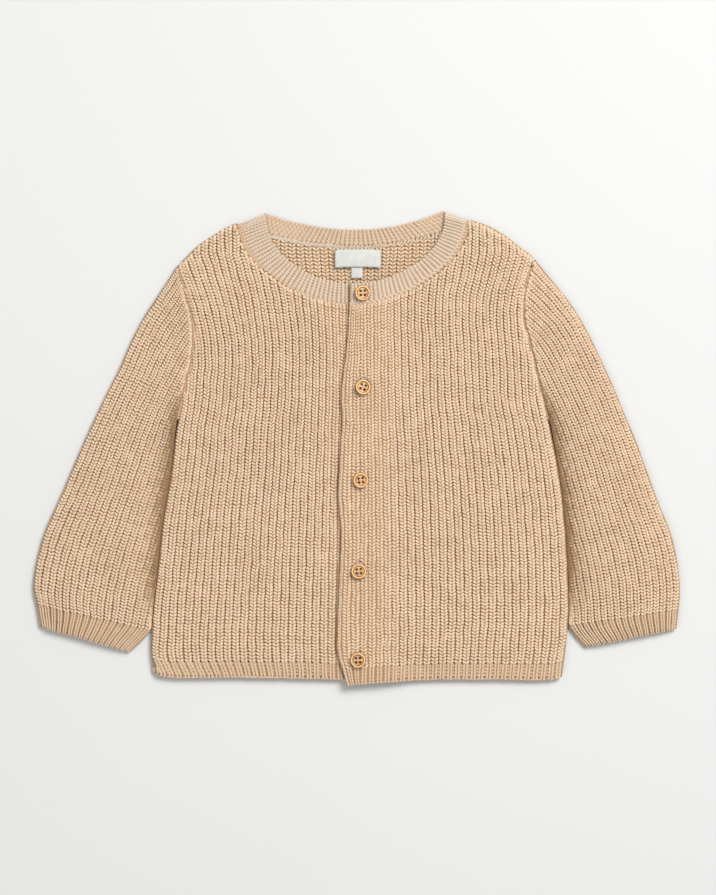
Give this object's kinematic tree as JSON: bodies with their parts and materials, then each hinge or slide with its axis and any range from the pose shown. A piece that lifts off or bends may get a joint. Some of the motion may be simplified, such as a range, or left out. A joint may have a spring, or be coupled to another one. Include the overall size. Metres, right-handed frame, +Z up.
{
  "type": "baby cardigan",
  "caption": "Chunky ribbed knit baby cardigan with set-in long sleeves, round ribbed neckband and wooden buttons, done up and laid flat.",
  "frame": {"origin": "on the surface the cardigan lies on, under the middle of its outline", "axes": "+Z up out of the surface, +Y from the hem towards the neck, +X towards the wearer's left sleeve"},
  "size_m": [0.419, 0.3082, 0.0125],
  "materials": {
    "knit": "sand coloured cotton and wool yarn in half-cardigan rib, soft and matt",
    "wood": "light varnished wood",
    "tape": "woven off-white tape, blank"
  },
  "bodies": {
    "root": {"back": "knit", "front_right": "knit", "front_left": "knit", "sleeve_right": "knit", "sleeve_left": "knit", "neckband": "knit", "size_tag": "tape", "neck_label": "tape", "button_1": "wood", "button_2": "wood", "button_3": "wood", "button_4": "wood", "button_5": "wood"}
  },
  "joints": []
}
